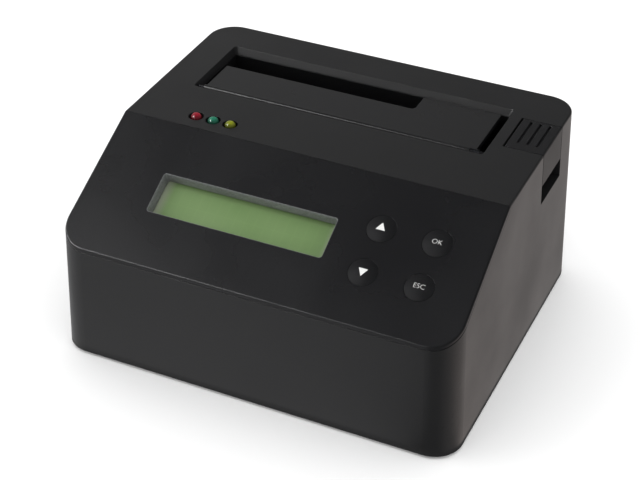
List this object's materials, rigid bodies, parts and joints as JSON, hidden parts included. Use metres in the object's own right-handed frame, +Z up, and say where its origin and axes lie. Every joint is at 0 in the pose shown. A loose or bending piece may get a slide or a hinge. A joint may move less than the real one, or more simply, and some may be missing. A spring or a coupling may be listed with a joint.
{
  "type": "hard drive eraser dock",
  "caption": "Black wedge-shaped desktop dock that erases a hard drive stood in its flapped top slot, with a sloped panel of display, round keys and status lamps, and a ribbed eject button.",
  "frame": {"origin": "on the surface it stands on, under the middle of its footprint", "axes": "+X to the right along its width, +Y to the rear, +Z up"},
  "size_m": [0.1444, 0.1216, 0.0705],
  "materials": {
    "shell_plastic": "satin black ABS, fine moulded texture",
    "panel_plastic": "smooth black ABS faceplate",
    "bay_plastic": "black ABS",
    "lever_plastic": "natural acetal",
    "rubber_foot": "soft black rubber",
    "screw_steel": "zinc-plated steel",
    "spring_steel": "spring steel",
    "board_laminate": "green solder mask",
    "chip_resin": "moulded black resin",
    "can_aluminium": "drawn aluminium",
    "connector_plastic": "black nylon",
    "port_steel": "plated steel",
    "rocker_plastic": "gloss black nylon",
    "bezel_metal": "black steel sheet",
    "display_glass": "yellow-green character display",
    "backlight_plastic": "milky diffuser",
    "switch_plastic": "black thermoplastic",
    "lamp_red": "clear red epoxy",
    "lamp_green": "clear green epoxy",
    "lamp_amber": "clear yellow-green epoxy",
    "ribbon_plastic": "grey ribbon cable"
  },
  "bodies": {
    "housing": {"upper_shell": "shell_plastic", "control_panel": "panel_plastic", "base_plate": "shell_plastic", "rubber_feet": "rubber_foot", "base_screws": "screw_steel", "drive_bay": "bay_plastic", "bay_screws": "screw_steel", "flap_pin": "spring_steel", "flap_spring": "spring_steel", "eject_pin": "spring_steel", "eject_spring": "spring_steel", "main_board": "board_laminate", "board_screws": "screw_steel", "board_chips": "chip_resin", "board_capacitors": "can_aluminium", "sata_connector": "connector_plastic", "usb_port": "port_steel", "dc_jack": "connector_plastic", "power_switch_body": "connector_plastic", "lcd_bezel": "bezel_metal", "lcd_glass": "display_glass", "lcd_backlight": "backlight_plastic", "lcd_board": "board_laminate", "lcd_screws": "screw_steel", "key_board": "board_laminate", "key_screws": "screw_steel", "tact_switches": "switch_plastic", "led_red": "lamp_red", "led_green": "lamp_green", "led_amber": "lamp_amber", "led_spacers": "connector_plastic", "led_board": "board_laminate", "led_screws": "screw_steel", "panel_ribbon": "ribbon_plastic", "ribbon_headers": "connector_plastic"},
    "flap": {"slot_flap": "shell_plastic"},
    "ejector": {"eject_button": "shell_plastic"},
    "lever": {"eject_lever": "lever_plastic"},
    "rocker": {"power_rocker": "rocker_plastic"},
    "key_up": {"button_up": "panel_plastic", "plunger_up": "switch_plastic"},
    "key_down": {"button_down": "panel_plastic", "plunger_down": "switch_plastic"},
    "key_ok": {"button_ok": "panel_plastic", "plunger_ok": "switch_plastic"},
    "key_esc": {"button_esc": "panel_plastic", "plunger_esc": "switch_plastic"}
  },
  "joints": [
    {"name": "flap_hinge", "type": "hinge", "parent": "housing", "child": "flap", "pos_m": [-0.0027, 0.0156, 0.0679], "axis": [-1, 0, 0], "range_deg": [0, 88], "stiffness_Nm_per_rad": 0.002, "springref_deg": -51.57},
    {"name": "eject_press", "type": "slide", "parent": "housing", "child": "ejector", "axis": [0, 0, -1], "range_m": [0, 0.005], "stiffness_N_per_m": 150, "springref_m": -0.01, "deforming": ["eject_spring"]},
    {"name": "eject_rock", "type": "hinge", "parent": "housing", "child": "lever", "pos_m": [0.0535, 0.0309, 0.02], "axis": [0, 1, 0], "range_deg": [0, 30.82]},
    {"name": "rocker_tilt", "type": "hinge", "parent": "housing", "child": "rocker", "pos_m": [-0.038, 0.05744, 0.0165], "axis": [0, 0, 1], "range_deg": [0, 16]},
    {"name": "up_press", "type": "slide", "parent": "housing", "child": "key_up", "axis": [0, 0.4596, -0.8881], "range_m": [0, 0.0006], "stiffness_N_per_m": 800, "springref_m": -0.0004},
    {"name": "down_press", "type": "slide", "parent": "housing", "child": "key_down", "axis": [0, 0.4596, -0.8881], "range_m": [0, 0.0006], "stiffness_N_per_m": 800, "springref_m": -0.0004},
    {"name": "ok_press", "type": "slide", "parent": "housing", "child": "key_ok", "axis": [0, 0.4596, -0.8881], "range_m": [0, 0.0006], "stiffness_N_per_m": 800, "springref_m": -0.0004},
    {"name": "esc_press", "type": "slide", "parent": "housing", "child": "key_esc", "axis": [0, 0.4596, -0.8881], "range_m": [0, 0.0006], "stiffness_N_per_m": 800, "springref_m": -0.0004}
  ],
  "couplings": [
    {"joint": "eject_rock", "follows": "eject_press", "rad_per_m": 107.24}
  ]
}
